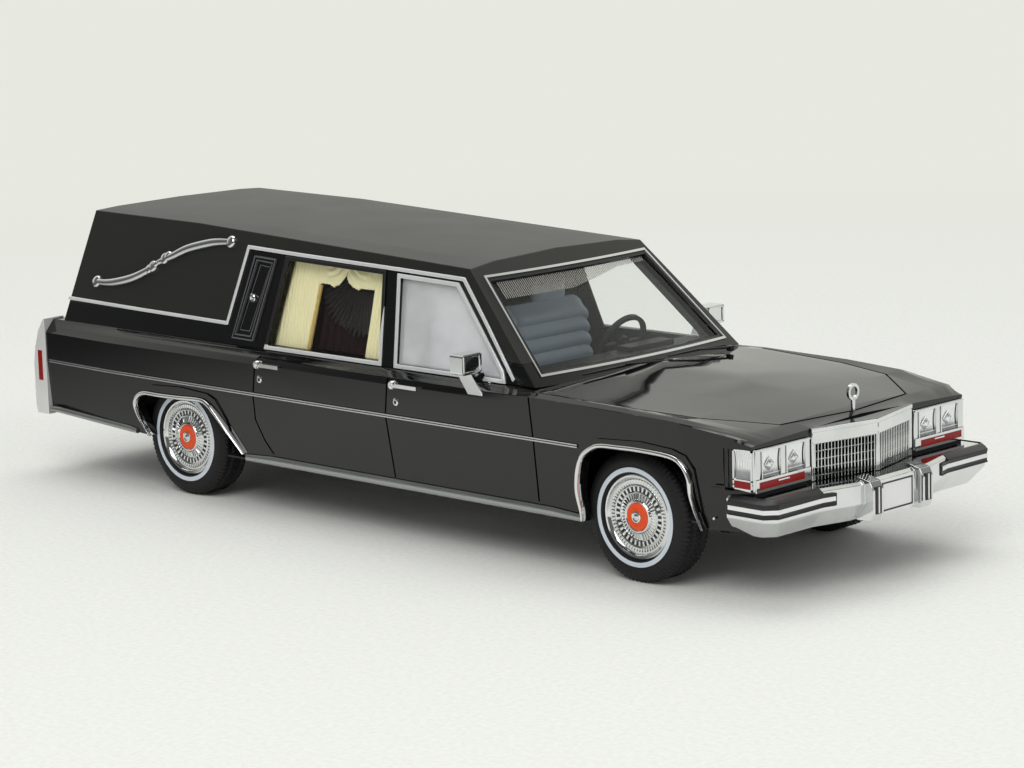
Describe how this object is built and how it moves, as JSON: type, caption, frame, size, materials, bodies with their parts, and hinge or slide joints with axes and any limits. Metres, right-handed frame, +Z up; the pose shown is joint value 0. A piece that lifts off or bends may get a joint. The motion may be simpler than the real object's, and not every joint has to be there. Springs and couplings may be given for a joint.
{
  "type": "hearse scale model",
  "caption": "Scale model of a black funeral car: long body with a satin roof, curtained load space, bright trim and free-rolling wheels.",
  "frame": {"origin": "on the floor, under the middle of the model's overall box", "axes": "+X to the nose, +Y to the left (driver's) side, +Z up"},
  "size_m": [0.1438, 0.0508, 0.039],
  "materials": {
    "body_paint": "high gloss black",
    "roof_vinyl": "satin black",
    "chrome": "bright plated",
    "clear_pane": "clear",
    "clear_lens": "clear fluted",
    "red_lens": "clear red",
    "plate_white": "gloss white, blank",
    "base_plastic": "matt black",
    "seat_plastic": "matt pale blue-grey",
    "curtain_cream": "matt cream",
    "tyre_rubber": "matt black",
    "axle_steel": "turned steel"
  },
  "bodies": {
    "car_body": {"arch_lips": "chrome", "base_plate": "base_plastic", "bench_seat": "seat_plastic", "body_shell": "body_paint", "cabin_tub": "base_plastic", "curtain_left": "curtain_cream", "curtain_right": "curtain_cream", "dashboard": "base_plastic", "door_glass_left": "clear_pane", "door_glass_right": "clear_pane", "door_handles": "chrome", "front_bumper": "chrome", "front_plate": "plate_white", "front_red_lamps": "red_lens", "front_rub_strips": "base_plastic", "grille_bars": "chrome", "grille_header": "chrome", "headlamp_bezel_left": "chrome", "headlamp_bezel_right": "chrome", "headlamps_left": "clear_lens", "headlamps_right": "clear_lens", "hood_ornament": "chrome", "landau_bars": "chrome", "load_deck": "base_plastic", "louvre_panels": "chrome", "mirror_left": "chrome", "mirror_right": "chrome", "partition": "base_plastic", "rear_bumper": "chrome", "rear_glass": "clear_pane", "rear_plate": "plate_white", "rear_red_lamps": "red_lens", "roof_shell": "roof_vinyl", "side_stripes": "chrome", "sill_mouldings": "chrome", "steering_wheel": "base_plastic", "window_trims": "chrome", "windscreen": "clear_pane", "windscreen_trim": "chrome"},
    "front_axle_set": {"axle_front": "axle_steel", "wheel_front_left": "chrome", "wheel_front_right": "chrome", "tyre_front_left": "tyre_rubber", "tyre_front_right": "tyre_rubber"},
    "rear_axle_set": {"axle_rear": "axle_steel", "wheel_rear_left": "chrome", "wheel_rear_right": "chrome", "tyre_rear_left": "tyre_rubber", "tyre_rear_right": "tyre_rubber"}
  },
  "joints": [
    {"name": "front_axle_roll", "type": "hinge", "parent": "car_body", "child": "front_axle_set", "pos_m": [0.046, 0, 0.0083], "axis": [0, 1, 0], "continuous": true},
    {"name": "rear_axle_roll", "type": "hinge", "parent": "car_body", "child": "rear_axle_set", "pos_m": [-0.03935, 0, 0.0083], "axis": [0, 1, 0], "continuous": true}
  ]
}
